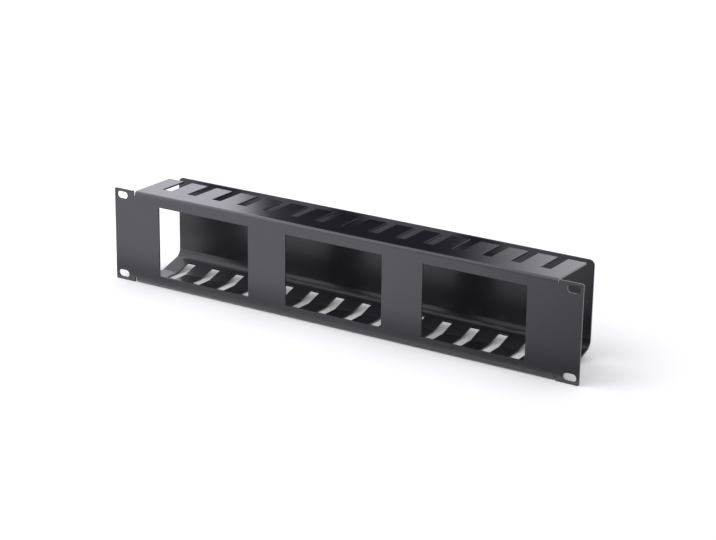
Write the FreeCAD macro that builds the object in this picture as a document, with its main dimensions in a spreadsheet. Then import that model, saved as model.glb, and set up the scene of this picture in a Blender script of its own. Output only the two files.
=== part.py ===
# Horizontal cable manager for a 19 inch rack, two rack units high.
#
# The whole thing is one steel sheet. It is cut flat, with three windows, four rack slots and
# two rows of narrow slots, then folded four times: back along the top as a comb of fingers,
# back along the bottom as a slotted floor, up at a shallow rise, and up again as a rear wall.
#
# Frame: X runs along the rack's width, Y from the front panel back into the rack, and Z up.
# The origin lies midway between the front panel and the rear wall, on the floor's underside.

import FreeCAD, Part
import math
import os
import Sketcher

Vector = FreeCAD.Vector

NODE = "folded_sheet"
ORIGIN_POINT = (-1, 1)
HORIZONTAL_AXIS = -1
VERTICAL_AXIS = -2
START, END, CENTRE = 1, 2, 3

# Alias, millimetres or degrees or count, and what it measures.
SIZES = (
    ("sheet_thickness", 1.5, "steel sheet"),
    ("panel_width", 482.6, "front panel over both ears"),
    ("panel_height", 88.1, "front panel, two rack units less clearance"),
    ("ear_corner", 1.5, "radius of the ears' corners"),
    ("trough_width", 436.0, "comb, floor and rear wall"),
    ("trough_depth", 68.0, "front panel's face to the rear wall's back"),
    ("relief_width", 1.5, "notch that frees the folds from the ears"),
    ("relief_depth", 4.5, "the same notch, from the panel's edge"),
    ("front_fold", 1.5, "inside radius of the folds along the panel's edges"),
    ("floor_fold", 6.0, "inside radius of the fold where the floor starts to rise"),
    ("wall_fold", 8.0, "inside radius of the fold from the floor to the rear wall"),
    ("floor_level", 39.0, "depth of the level part of the floor"),
    ("floor_rise", 17.0, "slope of the floor behind its level part, degrees"),
    ("wall_height", 86.0, "top edge of the rear wall"),
    ("wall_corner", 5.0, "radius of the rear wall's upper corners"),
    ("finger_root", 20.0, "front end of both rows of slots"),
    ("finger_tip", 52.0, "rear end of the comb's fingers"),
    ("finger_corner", 1.0, "radius of the finger tips' corners"),
    ("floor_slot_end", 57.5, "rear end of the floor's slots"),
    ("gap_width", 9.5, "slots in the comb and in the floor"),
    ("gap_pitch", 28.0, "from one slot to the next"),
    ("gap_count", 15, "slots in a row"),
    ("window_width", 100.0, "windows in the front panel"),
    ("window_height", 66.0, "windows in the front panel"),
    ("window_sill", 11.1, "panel's lower edge to the windows"),
    ("window_pitch", 140.5, "from one window to the next"),
    ("window_count", 3, "windows in the front panel"),
    ("rack_hole_span", 465.1, "rack slots, left to right"),
    ("rack_hole_rise", 76.2, "rack slots, lower to upper"),
    ("rack_slot_length", 12.0, "rack slots, end to end"),
    ("rack_slot_height", 6.6, "rack slots, clearance for M6"),
)


def make_sheet(doc):
    """Write the sizes into the document's spreadsheet, one aliased row each."""
    sheet = doc.addObject("Spreadsheet::Sheet", "Dimensions")
    for row, (alias, number, meaning) in enumerate(SIZES, start=1):
        sheet.set(f"A{row}", meaning)
        sheet.set(f"B{row}", str(number))
        sheet.setAlias(f"B{row}", alias)
    doc.recompute()
    return sheet


class SheetBody:
    """The folded sheet's body, with the sheet of dimensions that its features are bound to."""

    def __init__(self, doc, name):
        self.doc = doc
        self.sheet = make_sheet(doc)
        self.body = doc.addObject("PartDesign::Body", name)
        self.body.Label = name

    def size(self, expression):
        """Return the number that an expression over the dimensions gives."""
        return float(self.sheet.evalExpression(expression))

    def plane(self, role):
        """Return one of the body's own origin planes."""
        return next(item for item in self.body.Origin.OriginFeatures if item.Role == role)

    def sketch(self, name, role):
        """Add a sketch on one of the body's origin planes."""
        sketch = self.body.newObject("Sketcher::SketchObject", name)
        sketch.AttachmentSupport = [(self.plane(role), "")]
        sketch.MapMode = "FlatFace"
        return sketch

    def dimension(self, sketch, kind, places, expression):
        """Add a driving dimension to a sketch and bind it to the spreadsheet."""
        number = self.size(expression)
        if kind == "Angle":
            number = math.radians(number)
        index = sketch.addConstraint(Sketcher.Constraint(kind, *places, number))
        sketch.setExpression(f"Constraints[{index}]", expression)

    def rectangle(self, sketch, left, right, low, high):
        """Draw a rectangle whose four sides are bound to expressions."""
        x0, x1, y0, y1 = (self.size(side) for side in (left, right, low, high))
        corners = [Vector(x0, y0, 0), Vector(x1, y0, 0), Vector(x1, y1, 0), Vector(x0, y1, 0)]
        first = sketch.GeometryCount
        for side in range(4):
            sketch.addGeometry(Part.LineSegment(corners[side], corners[(side + 1) % 4]), False)
        for side in range(4):
            following = first + (side + 1) % 4
            sketch.addConstraint(Sketcher.Constraint("Coincident", first + side, END, following, START))
            direction = "Vertical" if side % 2 else "Horizontal"
            sketch.addConstraint(Sketcher.Constraint(direction, first + side))
        self.dimension(sketch, "DistanceX", (*ORIGIN_POINT, first, START), left)
        self.dimension(sketch, "DistanceX", (*ORIGIN_POINT, first, END), right)
        self.dimension(sketch, "DistanceY", (*ORIGIN_POINT, first + 1, END), high)
        if y0 == 0:
            sketch.addConstraint(Sketcher.Constraint("PointOnObject", first, START, HORIZONTAL_AXIS))
        else:
            self.dimension(sketch, "DistanceY", (*ORIGIN_POINT, first, START), low)

    def slot(self, sketch, left_centre, right_centre, level, radius):
        """Draw a level slot with round ends, bound to expressions."""
        x0, x1, y, r = (self.size(item) for item in (left_centre, right_centre, level, radius))
        first = sketch.GeometryCount
        quarter = math.pi / 2
        sketch.addGeometry(Part.LineSegment(Vector(x0, y - r, 0), Vector(x1, y - r, 0)), False)
        right_end = Part.Circle(Vector(x1, y, 0), Vector(0, 0, 1), r)
        sketch.addGeometry(Part.ArcOfCircle(right_end, -quarter, quarter), False)
        sketch.addGeometry(Part.LineSegment(Vector(x1, y + r, 0), Vector(x0, y + r, 0)), False)
        left_end = Part.Circle(Vector(x0, y, 0), Vector(0, 0, 1), r)
        sketch.addGeometry(Part.ArcOfCircle(left_end, quarter, 3 * quarter), False)
        for side in range(4):
            following = first + (side + 1) % 4
            sketch.addConstraint(Sketcher.Constraint("Tangent", first + side, END, following, START))
        sketch.addConstraint(Sketcher.Constraint("Horizontal", first))
        sketch.addConstraint(Sketcher.Constraint("Equal", first + 1, first + 3))
        self.dimension(sketch, "DistanceX", (*ORIGIN_POINT, first + 3, CENTRE), left_centre)
        self.dimension(sketch, "DistanceX", (*ORIGIN_POINT, first + 1, CENTRE), right_centre)
        self.dimension(sketch, "DistanceY", (*ORIGIN_POINT, first + 1, CENTRE), level)
        self.dimension(sketch, "Radius", (first + 1,), radius)

    def feature(self, kind, name, sketch, length, reverse=False):
        """Pad or pocket a sketch to a bound length."""
        feature = self.body.newObject(f"PartDesign::{kind}", name)
        feature.Profile = sketch
        feature.setExpression("Length", length)
        feature.Reversed = reverse
        self.doc.recompute()
        return feature

    def row(self, name, originals, sketch, length, count):
        """Repeat features along a sketch's horizontal axis, towards -X."""
        pattern = self.body.newObject("PartDesign::LinearPattern", name)
        pattern.Originals = originals
        pattern.Direction = (sketch, ["H_Axis"])
        pattern.Reversed = True
        pattern.setExpression("Length", length)
        pattern.setExpression("Occurrences", count)
        self.body.Tip = pattern
        self.doc.recompute()
        return pattern

    def round_edges(self, name, radius, test):
        """Fillet the straight edges of the present shape that a test picks by both end points."""
        base = self.body.Tip
        names = []
        for number, edge in enumerate(base.Shape.Edges, start=1):
            if len(edge.Vertexes) == 2 and test(edge.Vertexes[0].Point, edge.Vertexes[1].Point):
                names.append(f"Edge{number}")
        fillet = self.body.newObject("PartDesign::Fillet", name)
        fillet.Base = (base, names)
        fillet.setExpression("Radius", radius)
        self.doc.recompute()
        return fillet


def fold_centres(part):
    """Return the (Y, Z) centres of the four folds, from the comb round to the rear wall."""
    thickness = part.size("Dimensions.sheet_thickness")
    front = part.size("Dimensions.front_fold") + thickness
    floor = part.size("Dimensions.floor_fold") + thickness
    wall = part.size("Dimensions.wall_fold") + thickness
    rise = math.radians(part.size("Dimensions.floor_rise"))
    level = part.size("Dimensions.floor_level")
    wall_y = part.size("Dimensions.trough_depth") - wall
    wall_z = floor + ((wall_y - level) * math.sin(rise) - floor + wall) / math.cos(rise)
    return (
        (front, part.size("Dimensions.panel_height") - front),
        (front, front),
        (level, floor),
        (wall_y, wall_z),
    )


def draw_face(part, sketch, radii, comb_z, wall_y):
    """Draw one face of the folded sheet: five straight runs joined by four arcs.

    The run starts at the finger tips and turns the same way at every fold, so an arc's end
    angles are the headings of its two runs less a right angle.
    """
    rise = part.size("Dimensions.floor_rise")
    headings = (180, 270, 360, 360 + rise, 450)
    angles = [math.radians(heading - 90) for heading in headings]
    centres = [Vector(y, z, 0) for y, z in fold_centres(part)]
    ends = [Vector(part.size("Dimensions.finger_tip"), comb_z, 0)]
    for centre, radius, start, end in zip(centres, radii, angles[:-1], angles[1:]):
        ends.append(centre + Vector(math.cos(start), math.sin(start), 0) * radius)
        ends.append(centre + Vector(math.cos(end), math.sin(end), 0) * radius)
    ends.append(Vector(wall_y, part.size("Dimensions.wall_height"), 0))

    first = sketch.GeometryCount
    for fold in range(4):
        sketch.addGeometry(Part.LineSegment(ends[2 * fold], ends[2 * fold + 1]), False)
        circle = Part.Circle(centres[fold], Vector(0, 0, 1), radii[fold])
        sketch.addGeometry(Part.ArcOfCircle(circle, angles[fold], angles[fold + 1]), False)
    sketch.addGeometry(Part.LineSegment(ends[8], ends[9]), False)
    for piece in range(first, first + 8):
        sketch.addConstraint(Sketcher.Constraint("Tangent", piece, END, piece + 1, START))
    sketch.addConstraint(Sketcher.Constraint("Horizontal", first))
    sketch.addConstraint(Sketcher.Constraint("Vertical", first + 8))
    return first


def draw_section(part):
    """Draw the sheet's folded section in the plane across the trough."""
    sketch = part.sketch("fold_section", "YZ_Plane")
    folds = [f"Dimensions.{name}" for name in ("front_fold", "front_fold", "floor_fold", "wall_fold")]
    thickness = "Dimensions.sheet_thickness"
    outer_radii = [part.size(f"{fold} + {thickness}") for fold in folds]
    inner_radii = [part.size(fold) for fold in folds]
    outer = draw_face(
        part, sketch, outer_radii,
        part.size("Dimensions.panel_height"), part.size("Dimensions.trough_depth"),
    )
    inner = draw_face(
        part, sketch, inner_radii,
        part.size(f"Dimensions.panel_height - {thickness}"),
        part.size(f"Dimensions.trough_depth - {thickness}"),
    )

    # The cut edges at the finger tips and along the rear wall's top close the section.
    outline = sketch.Geometry
    tip_edge = sketch.addGeometry(
        Part.LineSegment(outline[inner].StartPoint, outline[outer].StartPoint), False)
    wall_edge = sketch.addGeometry(
        Part.LineSegment(outline[outer + 8].EndPoint, outline[inner + 8].EndPoint), False)
    for constraint in (
        Sketcher.Constraint("Coincident", tip_edge, START, inner, START),
        Sketcher.Constraint("Coincident", tip_edge, END, outer, START),
        Sketcher.Constraint("Coincident", wall_edge, START, outer + 8, END),
        Sketcher.Constraint("Coincident", wall_edge, END, inner + 8, END),
        Sketcher.Constraint("Vertical", tip_edge),
        Sketcher.Constraint("Horizontal", wall_edge),
        Sketcher.Constraint("Vertical", outer + 2),
        Sketcher.Constraint("Horizontal", outer + 4),
        Sketcher.Constraint("PointOnObject", outer + 2, START, VERTICAL_AXIS),
        Sketcher.Constraint("PointOnObject", outer + 4, START, HORIZONTAL_AXIS),
    ):
        sketch.addConstraint(constraint)

    for number, fold in enumerate(folds):
        arc = 2 * number + 1
        sketch.addConstraint(
            Sketcher.Constraint("Coincident", outer + arc, CENTRE, inner + arc, CENTRE))
        part.dimension(sketch, "Radius", (outer + arc,), f"{fold} + {thickness}")
        part.dimension(sketch, "Radius", (inner + arc,), fold)
    part.dimension(sketch, "DistanceX", (*ORIGIN_POINT, outer, START), "Dimensions.finger_tip")
    part.dimension(sketch, "DistanceY", (*ORIGIN_POINT, outer, START), "Dimensions.panel_height")
    part.dimension(sketch, "DistanceX", (*ORIGIN_POINT, outer + 4, END), "Dimensions.floor_level")
    part.dimension(sketch, "Angle", (outer + 6,), "Dimensions.floor_rise")
    part.dimension(sketch, "DistanceX", (*ORIGIN_POINT, outer + 8, END), "Dimensions.trough_depth")
    part.dimension(sketch, "DistanceY", (*ORIGIN_POINT, outer + 8, END), "Dimensions.wall_height")
    return sketch


def add_trough(part):
    """Pad the folded section to the trough's width, half to each side."""
    pad = part.feature("Pad", "trough", draw_section(part), "Dimensions.trough_width")
    pad.SideType = "Symmetric"
    part.doc.recompute()


def add_ears(part):
    """Add the flat ears with their rack slots and fold reliefs, the same at both ends."""
    edge = "Dimensions.trough_width / 2"
    height = "Dimensions.panel_height"

    ear_sketch = part.sketch("ear_outline", "XZ_Plane")
    part.rectangle(ear_sketch, edge, "Dimensions.panel_width / 2", "0", height)
    ear = part.feature("Pad", "ear", ear_sketch, "Dimensions.sheet_thickness", reverse=True)

    relief_sketch = part.sketch("relief_outline", "XZ_Plane")
    notch = f"{edge} + Dimensions.relief_width"
    part.rectangle(relief_sketch, edge, notch, "0", "Dimensions.relief_depth")
    part.rectangle(relief_sketch, edge, notch, f"{height} - Dimensions.relief_depth", height)
    relief = part.feature("Pocket", "fold_relief", relief_sketch, "Dimensions.sheet_thickness")

    slot_sketch = part.sketch("rack_slot_outline", "XZ_Plane")
    centre = "Dimensions.rack_hole_span / 2"
    radius = "Dimensions.rack_slot_height / 2"
    reach = "(Dimensions.rack_slot_length - Dimensions.rack_slot_height) / 2"
    for side in ("-", "+"):
        level = f"({height} {side} Dimensions.rack_hole_rise) / 2"
        part.slot(slot_sketch, f"{centre} - {reach}", f"{centre} + {reach}", level, radius)
    slots = part.feature("Pocket", "rack_slots", slot_sketch, "Dimensions.sheet_thickness")

    both = part.body.newObject("PartDesign::Mirrored", "both_ears")
    both.Originals = [ear, relief, slots]
    both.MirrorPlane = (part.plane("YZ_Plane"), [""])
    part.body.Tip = both
    part.doc.recompute()


def cut_windows(part):
    """Cut the row of windows in the front panel."""
    sketch = part.sketch("window_outline", "XZ_Plane")
    centre = "(Dimensions.window_count - 1) / 2 * Dimensions.window_pitch"
    half = "Dimensions.window_width / 2"
    sill = "Dimensions.window_sill"
    part.rectangle(sketch, f"{centre} - {half}", f"{centre} + {half}",
                   sill, f"{sill} + Dimensions.window_height")
    window = part.feature("Pocket", "window", sketch, "Dimensions.sheet_thickness")
    part.row("window_row", [window], sketch,
             "(Dimensions.window_count - 1) * Dimensions.window_pitch", "Dimensions.window_count")


def cut_gaps(part):
    """Cut the comb's open gaps and the floor's closed slots, which share one pitch."""
    centre = "(Dimensions.gap_count - 1) / 2 * Dimensions.gap_pitch"
    left = f"{centre} - Dimensions.gap_width / 2"
    right = f"{centre} + Dimensions.gap_width / 2"
    root = "Dimensions.finger_root"

    comb_sketch = part.sketch("comb_gap_outline", "XY_Plane")
    comb_sketch.setExpression("AttachmentOffset.Base.z", "Dimensions.panel_height")
    part.rectangle(comb_sketch, left, right, root, "Dimensions.finger_tip")
    comb_gap = part.feature("Pocket", "comb_gap", comb_sketch, "Dimensions.sheet_thickness")

    floor_sketch = part.sketch("floor_slot_outline", "XY_Plane")
    part.rectangle(floor_sketch, left, right, root, "Dimensions.floor_slot_end")
    reach = "Dimensions.floor_fold + Dimensions.wall_fold"
    floor_slot = part.feature("Pocket", "floor_slot", floor_sketch, reach, reverse=True)

    part.row("gap_rows", [comb_gap, floor_slot], floor_sketch,
             "(Dimensions.gap_count - 1) * Dimensions.gap_pitch", "Dimensions.gap_count")


def round_corners(part):
    """Round the in-plane corners of the ears, the rear wall and the finger tips."""
    panel_edge = part.size("Dimensions.panel_width / 2")
    wall_edge = part.size("Dimensions.trough_width / 2")
    wall_top = part.size("Dimensions.wall_height")
    tip = part.size("Dimensions.finger_tip")

    def crosses_sheet(start, end):
        """Tell an edge that runs straight through the sheet's thickness."""
        length = start.distanceToPoint(end)
        return abs(length - part.size("Dimensions.sheet_thickness")) < 0.01

    part.round_edges("ear_corners", "Dimensions.ear_corner", lambda start, end: (
        crosses_sheet(start, end) and abs(abs(start.x) - panel_edge) < 0.01))
    part.round_edges("wall_corners", "Dimensions.wall_corner", lambda start, end: (
        crosses_sheet(start, end)
        and abs(abs(start.x) - wall_edge) < 0.01
        and abs(start.z - wall_top) < 0.01))
    part.round_edges("finger_corners", "Dimensions.finger_corner", lambda start, end: (
        crosses_sheet(start, end) and abs(start.y - tip) < 0.01 and abs(end.y - tip) < 0.01))


def check(doc, body):
    """Stop if any object failed or the finished solid isn't sound."""
    for item in doc.Objects:
        faults = {"Invalid", "Error"} & set(item.State)
        if faults:
            raise RuntimeError(f"{item.Name}: {sorted(faults)}")
        if item.isDerivedFrom("Sketcher::SketchObject") and item.solve() != 0:
            raise RuntimeError(f"{item.Name} doesn't solve")
    shape = body.Shape
    if shape.isNull() or not shape.isValid() or len(shape.Solids) != 1:
        raise RuntimeError(f"{body.Label} isn't one sound solid")


def build():
    """Build the folded sheet and write its solid."""
    doc = FreeCAD.newDocument("horizontal_cable_manager")
    part = SheetBody(doc, NODE)
    add_trough(part)
    add_ears(part)
    cut_windows(part)
    cut_gaps(part)
    round_corners(part)
    part.body.setExpression("Placement.Base.y", "-Dimensions.trough_depth / 2")
    doc.recompute()

    check(doc, part.body)
    os.makedirs("parts", exist_ok=True)
    part.body.Shape.exportStep(f"parts/{NODE}.step")
    box = part.body.Shape.BoundBox
    print(f"{NODE}: volume {part.body.Shape.Volume:.0f} mm3, centre {part.body.Shape.CenterOfGravity}")
    print(f"box {box.XMin:.2f} {box.YMin:.2f} {box.ZMin:.2f} to {box.XMax:.2f} {box.YMax:.2f} {box.ZMax:.2f}")


build()
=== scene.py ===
"""Looks of a horizontal cable manager: one folded, powder-coated steel sheet in a plain studio.

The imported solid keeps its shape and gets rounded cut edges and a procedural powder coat. A pale
floor and soft lamps stand round it, with white cards that only glossy surfaces show.
"""

import logging
import math
from dataclasses import dataclass, field
from enum import Enum
from functools import reduce

import bpy
from mathutils import Matrix, Vector

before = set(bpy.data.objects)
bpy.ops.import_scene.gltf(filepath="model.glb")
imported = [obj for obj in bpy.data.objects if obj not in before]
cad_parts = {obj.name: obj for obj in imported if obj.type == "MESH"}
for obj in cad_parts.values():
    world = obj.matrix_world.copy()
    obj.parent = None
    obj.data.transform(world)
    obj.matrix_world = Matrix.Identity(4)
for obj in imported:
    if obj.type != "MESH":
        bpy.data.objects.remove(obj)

Corner = tuple[float, float, float]
Colour = tuple[float, float, float, float]

NODE = "folded_sheet"
MILLIMETRE = 0.001
NOISE_MIDDLE = 0.5
WHITE: Colour = (1.0, 1.0, 1.0, 1.0)
COOL_WHITE: Colour = (1.0, 0.985, 1.08, 1.0)

log = logging.getLogger("cable_manager")


class Ray(Enum):
    """The kinds of ray that an object can be shown to or hidden from."""

    CAMERA = "visible_camera"
    DIFFUSE = "visible_diffuse"
    GLOSSY = "visible_glossy"
    TRANSMISSION = "visible_transmission"
    VOLUME = "visible_volume_scatter"
    SHADOW = "visible_shadow"


class Value:
    """A shader socket that Python's arithmetic works on, adding Math nodes."""

    def __init__(self, graph: "Graph", socket: bpy.types.NodeSocket) -> None:
        """Wrap a socket.

        Args:
            graph: The graph that the socket's node belongs to.
            socket: An output socket.
        """
        self.graph = graph
        self.socket = socket

    def __add__(self, other: "Value | float") -> "Value":
        """Return self + other."""
        return self.graph.math("ADD", self, other)

    def __sub__(self, other: "Value | float") -> "Value":
        """Return self - other."""
        return self.graph.math("SUBTRACT", self, other)

    def __rsub__(self, other: float) -> "Value":
        """Return other - self."""
        return self.graph.math("SUBTRACT", other, self)

    def __mul__(self, other: "Value | float") -> "Value":
        """Return self * other."""
        return self.graph.math("MULTIPLY", self, other)

    __radd__ = __add__
    __rmul__ = __mul__


Input = Value | float | Corner | Colour


class Graph:
    """The shader nodes of one material or world."""

    MIX_FACTOR, MIX_FIRST, MIX_SECOND, MIX_RESULT = 0, 6, 7, 2

    def __init__(self, tree: bpy.types.NodeTree) -> None:
        """Take over a node tree and empty it.

        Args:
            tree: The tree that the nodes are added to.
        """
        self.tree = tree
        self.tree.nodes.clear()

    def node(
        self,
        kind: str,
        settings: dict[str, object] | None = None,
        inputs: dict[str | int, Input] | None = None,
        output: str | int = 0,
    ) -> Value:
        """Add a node.

        Args:
            kind: The node's type, such as ShaderNodeBump.
            settings: Attributes of the node, set before its sockets.
            inputs: Values or links of its sockets, by name or place.
            output: The output socket to return, by name or place.

        Returns:
            The chosen output socket.
        """
        node = self.tree.nodes.new(kind)
        for name, setting in (settings or {}).items():
            setattr(node, name, setting)
        for place, value in (inputs or {}).items():
            if isinstance(value, Value):
                self.tree.links.new(value.socket, node.inputs[place])
            else:
                node.inputs[place].default_value = value
        return Value(self, node.outputs[output])

    def math(self, operation: str, first: Input, second: Input) -> Value:
        """Return a Math node's result for two numbers."""
        return self.node("ShaderNodeMath", {"operation": operation}, {0: first, 1: second})

    def mix(self, factor: Value, first: Input, second: Input) -> Value:
        """Return a colour between two colours, the second where the factor is 1."""
        inputs = {self.MIX_FACTOR: factor, self.MIX_FIRST: first, self.MIX_SECOND: second}
        return self.node("ShaderNodeMix", {"data_type": "RGBA"}, inputs, self.MIX_RESULT)

    def smooth(self, value: Value, low: float, high: float) -> Value:
        """Return 0 below low, 1 above high, and a smooth step between."""
        return self.node(
            "ShaderNodeMapRange",
            {"interpolation_type": "SMOOTHSTEP"},
            {"Value": value, "From Min": low, "From Max": high},
        )

    def noise(self, place: Value, size: float, detail: float = 2.0) -> Value:
        """Return fractal noise from 0 to 1.

        Args:
            place: The coordinates, in metres.
            size: The largest lumps' size, in metres.
            detail: How many finer octaves are added.

        Returns:
            The noise's factor.
        """
        return self.node(
            "ShaderNodeTexNoise", {}, {"Vector": place, "Scale": 1 / size, "Detail": detail})

    def sees(self, *names: str) -> Value:
        """Return 1 for rays of the named kinds, such as Is Camera Ray, and 0 for the rest."""
        kinds = [self.node("ShaderNodeLightPath", output=name) for name in names]
        return reduce(lambda first, second: self.math("MAXIMUM", first, second), kinds)

    def emission(self, strength: float, colour: Colour = COOL_WHITE) -> Value:
        """Return light at a constant strength, where 1 looks white."""
        return self.node("ShaderNodeEmission", {}, {"Color": colour, "Strength": strength})

    def mix_shader(self, factor: Value, first: Value, second: Value) -> Value:
        """Return a shader between two shaders, the second where the factor is 1."""
        return self.node("ShaderNodeMixShader", {}, {0: factor, 1: first, 2: second})

    def finish(self, shader: Value, kind: str = "ShaderNodeOutputMaterial") -> None:
        """Connect a shader to the tree's output."""
        output = self.tree.nodes.new(kind)
        self.tree.links.new(shader.socket, output.inputs["Surface"])


def new_material(name: str) -> tuple[bpy.types.Material, Graph]:
    """Make a material.

    Args:
        name: The material's name.

    Returns:
        The material and the graph of its emptied node tree.
    """
    material = bpy.data.materials.new(name)
    material.use_nodes = True
    return material, Graph(material.node_tree)


@dataclass(frozen=True)
class PowderCoat:
    """Charcoal powder coat, semi-gloss, with a fine pebbled skin that thins at sharp edges.

    Attributes:
        colour: The coat where it is thick.
        thin_colour: The coat where it is thin.
        cloud_shade: How dark the darker clouds are, as a share of the colour.
        cloud_band: The noise values between which a dark cloud turns into a light one.
        thin_at_grit: How far the grit's tips take on the thin colour.
        thin_at_edge: How far sharp edges do.
        thin_from: What is taken off both, so that plain faces stay thick.
        roughness: The roughness under the gloss.
        cloud_roughness: How much that changes from cloud to cloud.
        grit_roughness: How much it changes with the grit.
        edge_gloss: How much smoother sharp edges are.
        ior: The coat's refractive index.
        gloss: The weight of the glossy skin.
        inner_gloss_and_shade: The same inside the trough, where less powder lands; the duller skin
            also darkens the trough's faces as painted shade.
        trough_axis: Height of the trough's middle line, which runs along X at Y = 0, in metres.
        inner_reach: How far towards that line a face has to look to be inside, in metres.
        gloss_roughness: The glossy skin's roughness.
        pebble: Size of the pebbles, in metres.
        grit: Size of the grit, in metres.
        cloud: Size of the clouds, in metres.
        pebble_share: The pebbles' share of the relief. The grit has the rest.
        depth: Height of the relief, in metres.
        edge_reach: How far from a sharp edge the coat is thin, in metres.
        edge_band: The turn of the surface, as 1 less its cosine, where an edge starts and is full.
        edge_samples: Rays that look for an edge.
    """

    colour: Colour = (0.0172, 0.0163, 0.0245, 1.0)
    thin_colour: Colour = (0.034, 0.033, 0.042, 1.0)
    cloud_shade: float = 0.9
    cloud_band: tuple[float, float] = (0.35, 0.65)
    thin_at_grit: float = 0.35
    thin_at_edge: float = 0.65
    thin_from: float = 0.17
    roughness: float = 0.30
    cloud_roughness: float = 0.05
    grit_roughness: float = 0.06
    edge_gloss: float = 0.04
    ior: float = 1.5
    gloss: float = 1.0
    inner_gloss_and_shade: float = 0.38
    trough_axis: float = 44 * MILLIMETRE
    inner_reach: float = 5 * MILLIMETRE
    gloss_roughness: float = 0.18
    pebble: float = 1.6 * MILLIMETRE
    grit: float = 0.35 * MILLIMETRE
    cloud: float = 70 * MILLIMETRE
    pebble_share: float = 0.75
    depth: float = 0.006 * MILLIMETRE
    edge_reach: float = 0.8 * MILLIMETRE
    edge_band: tuple[float, float] = (0.02, 0.3)
    edge_samples: int = 4

    def build(self) -> bpy.types.Material:
        """Mix the coat.

        Returns:
            The coat's material.
        """
        material, graph = new_material("powder_coat")
        place = graph.node("ShaderNodeTexCoord", output="Object")
        pebbles = graph.noise(place, self.pebble, 1.0)
        grit = graph.noise(place, self.grit, 2.0)
        clouds = graph.noise(place, self.cloud, 3.0)
        edge = self._edge(graph)
        relief = self.pebble_share * pebbles + (1 - self.pebble_share) * grit
        graph.finish(graph.node("ShaderNodeBsdfPrincipled", {}, {
            "Base Color": self._tone(graph, clouds, grit, edge),
            "Roughness": (self.roughness + self.cloud_roughness * (clouds - NOISE_MIDDLE)
                          + self.grit_roughness * (grit - NOISE_MIDDLE)
                          - self.edge_gloss * edge),
            "IOR": self.ior,
            "Normal": graph.node("ShaderNodeBump", {}, {
                "Height": relief, "Strength": 1.0, "Distance": self.depth}),
            # Less gloss on faces that look into the trough: partly thinner powder there, partly
            # painted shade.
            "Coat Weight": self.gloss - (self.gloss - self.inner_gloss_and_shade) * self._inside(graph),
            "Coat Roughness": self.gloss_roughness,
        }))
        return material

    def _tone(self, graph: Graph, clouds: Value, grit: Value, edge: Value) -> Value:
        """Colour the coat by its clouds and by how thin it is.

        Args:
            graph: The coat's graph.
            clouds: The clouds' noise.
            grit: The grit's noise.
            edge: The mask of sharp edges.

        Returns:
            The coat's colour.
        """
        shade = tuple(part * self.cloud_shade for part in self.colour[:3]) + (1.0,)
        body = graph.mix(graph.smooth(clouds, *self.cloud_band), shade, self.colour)
        thinness = self.thin_at_grit * grit + self.thin_at_edge * edge - self.thin_from
        return graph.mix(thinness, body, self.thin_colour)

    def _inside(self, graph: Graph) -> Value:
        """Find the faces that look into the trough.

        Args:
            graph: The coat's graph.

        Returns:
            A mask that is 1 on faces turned towards the trough's middle line and 0 on the rest.
        """
        place, facing = (
            graph.node("ShaderNodeTexCoord", output=output) for output in ("Object", "Normal"))
        back, up = (graph.node("ShaderNodeSeparateXYZ", {}, {0: place}, axis) for axis in "YZ")
        faces_back, faces_up = (
            graph.node("ShaderNodeSeparateXYZ", {}, {0: facing}, axis) for axis in "YZ")
        inward = faces_up * (self.trough_axis - up) - faces_back * back
        return graph.smooth(inward, 0.0, self.inner_reach)

    def _edge(self, graph: Graph) -> Value:
        """Find the sharp edges, where the powder draws back.

        Args:
            graph: The coat's graph.

        Returns:
            A mask that is 1 along sharp edges and 0 on plain faces.
        """
        rounded = graph.node(
            "ShaderNodeBevel", {"samples": self.edge_samples}, {"Radius": self.edge_reach})
        flat = graph.node("ShaderNodeNewGeometry", output="Normal")
        agreement = graph.node(
            "ShaderNodeVectorMath", {"operation": "DOT_PRODUCT"}, {0: rounded, 1: flat}, "Value")
        return graph.smooth(1 - agreement, *self.edge_band)


@dataclass(frozen=True)
class PaleFloor:
    """Matt white floor that glows to white, less so under and beside the object, where the dimmed
    glow is painted shadow.

    Attributes:
        colour: The floor's own colour, which takes back part of the lamps' cool tint.
        glow_colour: The glow's colour.
        glow: How strongly it glows far away, where the lamps no longer reach.
        near_share: The share of that glow within the lamps' light.
        lit: Where the lamps' light starts to fall off, in metres.
        unlit: Where it has gone, in metres.
        reach: How far the object dims the glow as painted shadow, in metres.
        samples: Rays that look for the object from a place on the floor.
    """

    colour: Colour = (0.856, 0.862, 0.832, 1.0)
    glow_colour: Colour = (1.0, 0.996, 1.02, 1.0)
    glow: float = 0.80
    near_share: float = 0.53
    lit: float = 0.5
    unlit: float = 2.2
    reach: float = 0.12
    samples: int = 8

    def build(self) -> bpy.types.Material:
        """Mix the floor's finish.

        Returns:
            The floor's material.
        """
        material, graph = new_material("pale_floor")
        # Ambient occlusion dims the glow under and beside the object: painted shadow on the floor.
        painted_shadow_openness = graph.node("ShaderNodeAmbientOcclusion", {"samples": self.samples},
                              {"Distance": self.reach}, "AO")
        place = graph.node("ShaderNodeNewGeometry", output="Position")
        distance = graph.node(
            "ShaderNodeVectorMath", {"operation": "LENGTH"}, {0: place}, "Value")
        away = graph.smooth(distance, self.lit, self.unlit)
        share = painted_shadow_openness * (self.near_share + (1 - self.near_share) * away)
        seen = graph.sees("Is Camera Ray", "Is Glossy Ray", "Is Transmission Ray")
        matt = graph.node("ShaderNodeBsdfDiffuse", {}, {"Color": self.colour})
        glow = graph.emission(self.glow, self.glow_colour)
        light = graph.mix_shader(share * seen, graph.emission(0), glow)
        graph.finish(graph.node("ShaderNodeAddShader", {}, {0: matt, 1: light}))
        return material


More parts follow.
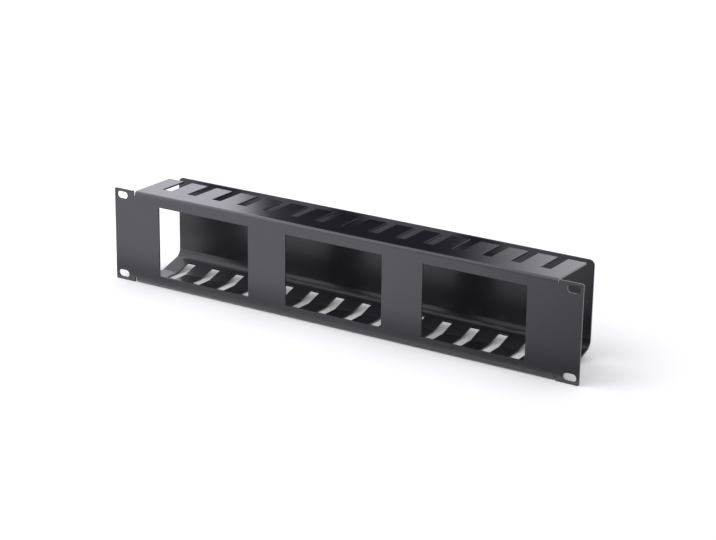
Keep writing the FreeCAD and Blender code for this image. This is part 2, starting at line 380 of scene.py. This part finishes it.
@dataclass(frozen=True)
class Fade:
    """How brightness changes along an axis: steps from one share to the next.

    Attributes:
        axis: The axis that the steps run along.
        first: The share at the axis's lower end.
        steps: For each step, where it starts and ends, in metres, and the share after it.
    """

    axis: str
    first: float
    steps: tuple[tuple[float, float, float], ...]

    def share(self, graph: Graph, place: Value) -> Value:
        """Work out how bright a place is.

        Args:
            graph: The graph that the nodes are added to.
            place: The position, in metres.

        Returns:
            The share of full brightness there.
        """
        along = graph.node("ShaderNodeSeparateXYZ", {}, {0: place}, self.axis)
        share = level = self.first
        for start, end, after in self.steps:
            share = share + (after - level) * graph.smooth(along, start, end)
            level = after
        return share


@dataclass(frozen=True)
class Tone:
    """How bright a card is.

    Attributes:
        strength: Its full strength, where 1 looks white.
        fades: How that falls off along one axis or two.
    """

    strength: float
    fades: tuple[Fade, ...]

    def build(self, name: str) -> bpy.types.Material:
        """Mix the card's finish.

        Args:
            name: The material's name.

        Returns:
            The card's material.
        """
        material, graph = new_material(name)
        place = graph.node("ShaderNodeNewGeometry", output="Position")
        light = graph.emission(self.strength)
        for fade in self.fades:
            light = graph.mix_shader(fade.share(graph, place), graph.emission(0), light)
        graph.finish(light)
        return material


@dataclass
class FoldedSheet:
    """The one piece: the folded sheet, dressed with rounded cut edges and its coat.

    Attributes:
        finish: The coat.
        edge_radius: Radius of the cut edges, in metres.
        edge_steps: Facets across that radius.
        sharp_angle: Edges that turn more than this are cut edges, in radians.
        flat_angle: Faces that turn less than this are one flat face, in radians.
        weld: Corners closer than this are one corner, in metres.
    """

    finish: PowderCoat = field(default_factory=PowderCoat)
    edge_radius: float = 0.25 * MILLIMETRE
    edge_steps: int = 2
    sharp_angle: float = math.radians(50)
    flat_angle: float = math.radians(0.5)
    weld: float = 0.001 * MILLIMETRE

    def dress(self) -> bpy.types.Object:
        """Round the cut edges and paint the sheet.

        Returns:
            The sheet's object.
        """
        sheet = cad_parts[NODE]
        self._round_cut_edges(sheet)
        sheet.data.materials.clear()
        sheet.data.materials.append(self.finish.build())
        return sheet

    def _round_cut_edges(self, sheet: bpy.types.Object) -> None:
        """Join the faces, merge flat ones and round every edge that a punch or shear left.

        Args:
            sheet: The sheet's object.
        """
        weld = sheet.modifiers.new("join_faces", "WELD")
        weld.merge_threshold = self.weld
        merge = sheet.modifiers.new("merge_flats", "DECIMATE")
        merge.decimate_type = "DISSOLVE"
        merge.angle_limit = self.flat_angle
        bevel = sheet.modifiers.new("cut_edges", "BEVEL")
        bevel.width = self.edge_radius
        bevel.segments = self.edge_steps
        bevel.limit_method = "ANGLE"
        bevel.angle_limit = self.sharp_angle


@dataclass
class Lamp:
    """A soft rectangular lamp that faces a point and lights without being seen or mirrored.

    Attributes:
        name: The lamp's name.
        place: Its middle, in metres.
        target: The point that it faces, in metres.
        size: Its width and height, in metres.
        radiance: How bright its face is, where 1 looks white.
    """

    name: str
    place: Corner
    target: Corner
    size: tuple[float, float]
    radiance: float

    def light(self) -> bpy.types.Object:
        """Aim the lamp and light it.

        Returns:
            The lamp's object.
        """
        width, height = self.size
        data = bpy.data.lights.new(self.name, "AREA")
        data.shape = "RECTANGLE"
        data.size = width
        data.size_y = height
        data.color = COOL_WHITE[:3]
        data.energy = self.radiance * math.pi * width * height
        lamp = bpy.data.objects.new(self.name, data)
        bpy.context.scene.collection.objects.link(lamp)
        lamp.location = self.place
        lamp.rotation_mode = "QUATERNION"
        lamp.rotation_quaternion = (Vector(self.target) - lamp.location).to_track_quat("-Z", "Y")
        for ray in (Ray.CAMERA, Ray.GLOSSY):
            setattr(lamp, ray.value, False)
        return lamp


def add_plane(name: str, corners: list[Corner], material: bpy.types.Material) -> bpy.types.Object:
    """Add a flat stage piece.

    Args:
        name: The object's name.
        corners: Its four corners, in metres.
        material: Its finish.

    Returns:
        The new object.
    """
    mesh = bpy.data.meshes.new(name)
    mesh.from_pydata(corners, [], [(0, 1, 2, 3)])
    mesh.materials.append(material)
    plane = bpy.data.objects.new(name, mesh)
    bpy.context.scene.collection.objects.link(plane)
    return plane


@dataclass
class Card:
    """A flat card that only reflections show.

    Attributes:
        name: The card's name.
        low: Its left, front, lower corner, in metres.
        high: The corner across from it.
        tone: How bright it is.
    """

    name: str
    low: Corner
    high: Corner
    tone: Tone

    def hang(self) -> bpy.types.Object:
        """Hang the card, upright where its corners differ in height and flat otherwise.

        Returns:
            The card's object.
        """
        (left, front, bottom), (right, back, top) = self.low, self.high
        corners = [
            (left, front, bottom), (right, front, bottom), (right, back, top), (left, back, top)]
        card = add_plane(self.name, corners, self.tone.build(self.name))
        for ray in Ray:
            setattr(card, ray.value, ray is Ray.GLOSSY)
        return card


@dataclass
class Studio:
    """Pale floor, white surroundings, soft lamps and the cards that glossy faces reflect.

    Attributes:
        floor: The floor's finish.
        reach: How far the floor goes to each side, in metres.
        ambient: How strongly the surroundings light the object.
        reflected: How bright they look in reflections.
        background: How bright they look, where 1 is white.
        lamps: The lamps.
        cards: The cards.
    """

    floor: PaleFloor = field(default_factory=PaleFloor)
    reach: float = 12.0
    ambient: float = 0.55
    reflected: float = 1.1
    background: float = 1.0
    lamps: tuple[Lamp, ...] = (
        Lamp("overhead_lamp", (-0.85, -0.55, 1.35), (0, 0, 0.05), (1.3, 1.1), 2.2),
        Lamp("front_lamp", (-0.9, -1.3, 0.45), (-0.1, 0, 0.05), (1.4, 0.8), 1.2),
    )
    cards: tuple[Card, ...] = (
        Card("back_card", (-3.0, 0.35, 0.0), (3.0, 0.35, 0.6),
             Tone(1.13, (Fade("X", 1.0, ((-0.395, -0.335, 0.0), (-0.108, 0.083, 0.93))),))),
        # This card is the floor as reflections show it, with painted shadow: dimmer towards the
        # right and just in front of the object.
        Card("floor_card", (-1.5, -1.5, 0.0005), (1.5, -0.045, 0.0005),
             Tone(1.05, (Fade("X", 1.0, ((-0.1, 0.3, 0.35),)),
                        Fade("Y", 1.0, ((-0.115, -0.055, 0.45),))))),
        Card("overhead_card", (-1.6, -1.1, 1.35), (0.5, -0.3, 1.35),
             Tone(1.9, (Fade("X", 1.0, ((-1.0, -0.3, 0.8),)),))),
        Card("front_card", (-3.0, -1.6, 0.0), (3.0, -1.6, 2.2),
             Tone(1.0, (Fade("X", 1.0, ((-0.9, -0.3, 0.7),)),))),
    )

    def build(self) -> None:
        """Build the floor, the cards, the lamps and the world."""
        far = self.reach
        floor_corners = [(-far, -far, 0), (far, -far, 0), (far, far, 0), (-far, far, 0)]
        add_plane("floor", floor_corners, self.floor.build())
        for card in self.cards:
            card.hang()
        for lamp in self.lamps:
            lamp.light()
        self._surround()

    def _surround(self) -> None:
        """Make the world white to look at, and dimmer as light and in reflections."""
        world = bpy.data.worlds.new("studio")
        world.use_nodes = True
        graph = Graph(world.node_tree)
        light, mirrored = (
            graph.node("ShaderNodeBackground", {}, {"Color": COOL_WHITE, "Strength": strength})
            for strength in (self.ambient, self.reflected))
        backdrop = graph.node("ShaderNodeBackground", {}, {
            "Color": WHITE, "Strength": self.background})
        light = graph.mix_shader(graph.sees("Is Glossy Ray"), light, mirrored)
        seen = graph.sees("Is Camera Ray", "Is Transmission Ray")
        graph.finish(graph.mix_shader(seen, light, backdrop), "ShaderNodeOutputWorld")
        bpy.context.scene.world = world


@dataclass(frozen=True)
class Viewpoint:
    """A camera placed by its position, heading, pitch and roll.

    Attributes:
        place: Position, in metres.
        heading: Turn of the view from +Y towards -X, in degrees.
        pitch: How far the view points down, in degrees.
        roll: Anticlockwise turn of the camera about its view, in degrees.
        lens: Focal length for a 36 mm wide sensor, in millimetres.
    """

    place: Corner = (0.9152, -1.4375, 0.6177)
    heading: float = 32.354
    pitch: float = 18.588
    roll: float = 0.8495
    lens: float = 102.24

    def add(self) -> bpy.types.Object:
        """Add the camera and make it the scene's own.

        Returns:
            The camera object.
        """
        heading, pitch, roll = map(math.radians, (self.heading, self.pitch, self.roll))
        ahead = Vector((
            -math.sin(heading) * math.cos(pitch),
            math.cos(heading) * math.cos(pitch),
            -math.sin(pitch),
        ))
        level = Vector((math.cos(heading), math.sin(heading), 0))
        upright = level.cross(ahead)
        right = math.cos(roll) * level + math.sin(roll) * upright
        up = right.cross(ahead)

        data = bpy.data.cameras.new("view")
        data.lens = self.lens
        camera = bpy.data.objects.new("view", data)
        bpy.context.scene.collection.objects.link(camera)
        turn = Matrix((right, up, -ahead)).transposed().to_4x4()
        camera.matrix_world = Matrix.Translation(self.place) @ turn
        bpy.context.scene.camera = camera
        return camera


def main() -> None:
    """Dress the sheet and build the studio."""
    logging.basicConfig(level=logging.INFO, format="%(name)s: %(message)s")
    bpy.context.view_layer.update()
    sheet = FoldedSheet().dress()
    log.info("dressed %s, material %s", sheet.name, sheet.data.materials[0].name)
    Studio().build()
    camera = Viewpoint().add()
    log.info("studio built, camera %s", camera.name)
    bpy.context.scene.view_settings.view_transform = "Standard"


if __name__ == "__main__":
    main()
